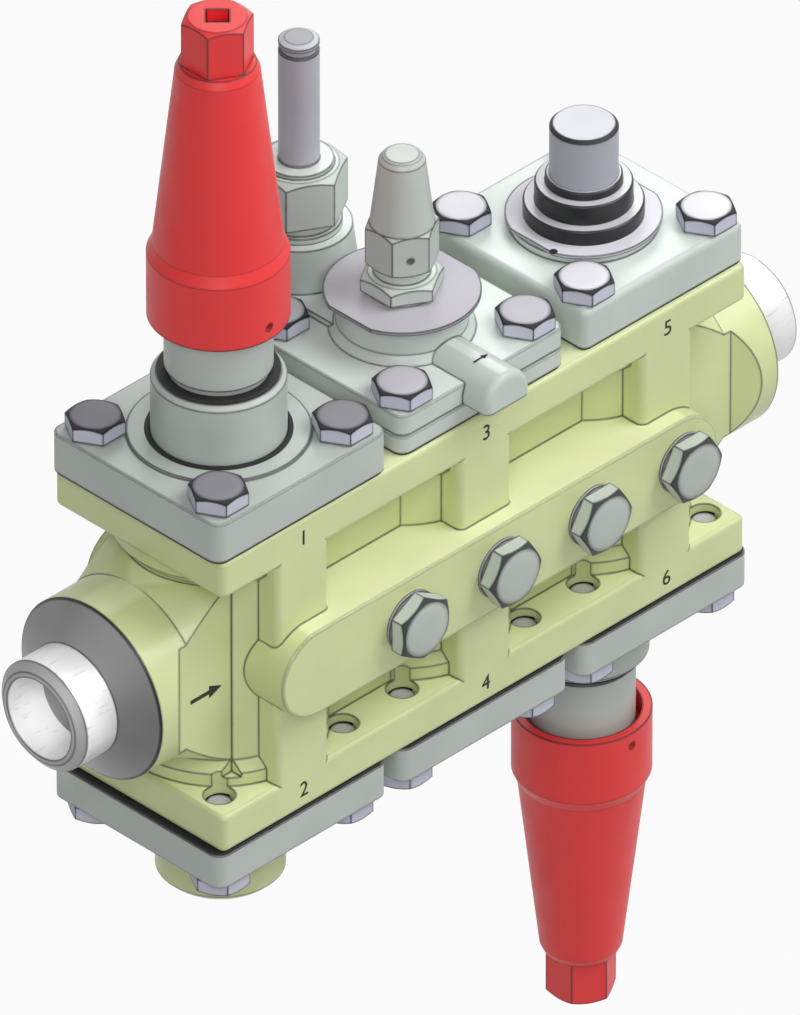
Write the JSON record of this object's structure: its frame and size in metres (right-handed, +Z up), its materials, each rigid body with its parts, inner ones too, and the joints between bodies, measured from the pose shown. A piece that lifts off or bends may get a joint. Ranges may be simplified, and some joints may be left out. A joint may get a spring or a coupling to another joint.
{
  "type": "valve station",
  "caption": "Refrigerant valve station: a cast body with weld ends carries capped stop valves, a strainer, a solenoid valve, a check valve and a motor valve.",
  "frame": {"origin": "centre of the inlet weld end face, on the axis of the flow", "axes": "+X along the flow from inlet to outlet, +Z up along the upper cap, the hexagon port plugs face -Y"},
  "size_m": [0.317, 0.1149, 0.4502],
  "materials": {
    "casting": "satin paint on a casting",
    "weld_end": "machined steel",
    "cover_grey": "satin grey coating",
    "cover_pale": "satin pale grey coating",
    "fastener": "zinc plated",
    "plug": "zinc plated",
    "cap_red": "red coating",
    "gasket": "dark flat gasket",
    "stainless": "drawn stainless steel",
    "washer": "soft washer",
    "valve_trim": "turned steel",
    "spring": "spring wire",
    "disc": "anodised disc"
  },
  "bodies": {
    "station": {"valve_body": "casting", "inlet_stub": "weld_end", "outlet_stub": "weld_end", "side_plugs": "plug", "plug_washers": "washer", "inlet_stop_bonnet": "cover_grey", "outlet_stop_bonnet": "cover_grey", "inlet_stop_packing": "gasket", "outlet_stop_packing": "gasket", "inlet_stop_gland": "valve_trim", "outlet_stop_gland": "valve_trim", "strainer_cover": "cover_grey", "strainer_collar": "casting", "strainer_screen": "stainless", "drain_plug": "plug", "solenoid_base": "cover_pale", "solenoid_cover": "cover_pale", "solenoid_seal": "gasket", "solenoid_cage": "valve_trim", "piston_spring": "spring", "pilot_nut": "cover_pale", "armature_tube": "stainless", "plunger_spring": "spring", "opener_disc": "disc", "opener_nut": "cover_pale", "check_cover": "cover_grey", "check_spring": "spring", "regulator_cover": "cover_pale", "regulator_disc": "disc", "regulator_adapter": "stainless", "actuator_tube": "stainless", "regulator_cage": "valve_trim", "inlet_stop_gasket": "gasket", "inlet_stop_screws": "fastener", "strainer_gasket": "gasket", "strainer_screws": "fastener", "solenoid_gasket": "gasket", "solenoid_screws": "fastener", "check_gasket": "gasket", "check_screws": "fastener", "regulator_gasket": "gasket", "regulator_screws": "fastener", "outlet_stop_gasket": "gasket", "outlet_stop_screws": "fastener"},
    "upper_cap": {"upper_cap": "cap_red"},
    "lower_cap": {"lower_cap": "cap_red"},
    "inlet_stop_cone": {"inlet_stop_cone": "valve_trim"},
    "inlet_stop_spindle": {"inlet_stop_spindle": "valve_trim"},
    "outlet_stop_cone": {"outlet_stop_cone": "valve_trim"},
    "outlet_stop_spindle": {"outlet_stop_spindle": "valve_trim"},
    "opener_cap": {"opener_cap": "cover_pale"},
    "opener_lifter": {"opener_lifter": "valve_trim"},
    "opener_spindle": {"opener_spindle": "valve_trim"},
    "solenoid_piston": {"solenoid_piston": "valve_trim"},
    "plunger": {"plunger": "valve_trim"},
    "check_cone": {"check_cone": "valve_trim"},
    "regulator_rotor": {"regulator_rotor": "valve_trim"},
    "regulator_cone": {"regulator_cone": "valve_trim"}
  },
  "joints": [
    {"name": "upper_cap_lift", "type": "slide", "parent": "station", "child": "upper_cap", "axis": [0, 0, 1], "range_m": [0, 0.07]},
    {"name": "lower_cap_lift", "type": "slide", "parent": "station", "child": "lower_cap", "axis": [0, 0, -1], "range_m": [0, 0.07]},
    {"name": "inlet_stop_lift", "type": "slide", "parent": "station", "child": "inlet_stop_cone", "axis": [0, 0, 1], "range_m": [0, 0.012]},
    {"name": "inlet_stop_turn", "type": "hinge", "parent": "inlet_stop_cone", "child": "inlet_stop_spindle", "pos_m": [0.0785, 0, 0], "axis": [0, 0, 1], "range_deg": [0, 2161]},
    {"name": "outlet_stop_lift", "type": "slide", "parent": "station", "child": "outlet_stop_cone", "axis": [0, 0, -1], "range_m": [0, 0.012]},
    {"name": "outlet_stop_turn", "type": "hinge", "parent": "outlet_stop_cone", "child": "outlet_stop_spindle", "pos_m": [0.2385, 0, 0], "axis": [0, 0, -1], "range_deg": [0, 2161]},
    {"name": "opener_lift", "type": "slide", "parent": "station", "child": "opener_lifter", "axis": [0, 0, 1], "range_m": [0, 0.004]},
    {"name": "opener_turn", "type": "hinge", "parent": "opener_lifter", "child": "opener_spindle", "pos_m": [0.1585, 0, 0], "axis": [0, 0, 1], "range_deg": [0, 721]},
    {"name": "opener_cap_lift", "type": "slide", "parent": "station", "child": "opener_cap", "axis": [0, 0, 1], "range_m": [0, 0.04]},
    {"name": "plunger_lift", "type": "slide", "parent": "station", "child": "plunger", "axis": [0, 0, 1], "range_m": [0, 0.0025], "stiffness_N_per_m": 400, "springref_m": -0.004, "deforming": ["plunger_spring"]},
    {"name": "piston_lift", "type": "slide", "parent": "station", "child": "solenoid_piston", "axis": [0, 0, 1], "range_m": [0, 0.01], "stiffness_N_per_m": 600, "springref_m": -0.008, "deforming": ["piston_spring"]},
    {"name": "check_lift", "type": "slide", "parent": "station", "child": "check_cone", "axis": [0, 0, -1], "range_m": [0, 0.008], "stiffness_N_per_m": 500, "springref_m": -0.008, "deforming": ["check_spring"]},
    {"name": "regulator_turn", "type": "hinge", "parent": "station", "child": "regulator_rotor", "pos_m": [0.2385, 0, 0], "axis": [0, 0, 1], "range_deg": [0, 1801]},
    {"name": "regulator_lift", "type": "slide", "parent": "station", "child": "regulator_cone", "axis": [0, 0, 1], "range_m": [0, 0.01]}
  ],
  "couplings": [
    {"joint": "inlet_stop_turn", "follows": "inlet_stop_lift", "rad_per_m": 3141.6},
    {"joint": "outlet_stop_turn", "follows": "outlet_stop_lift", "rad_per_m": 3141.6},
    {"joint": "opener_turn", "follows": "opener_lift", "rad_per_m": 3141.6},
    {"joint": "regulator_turn", "follows": "regulator_lift", "rad_per_m": 3141.6}
  ]
}
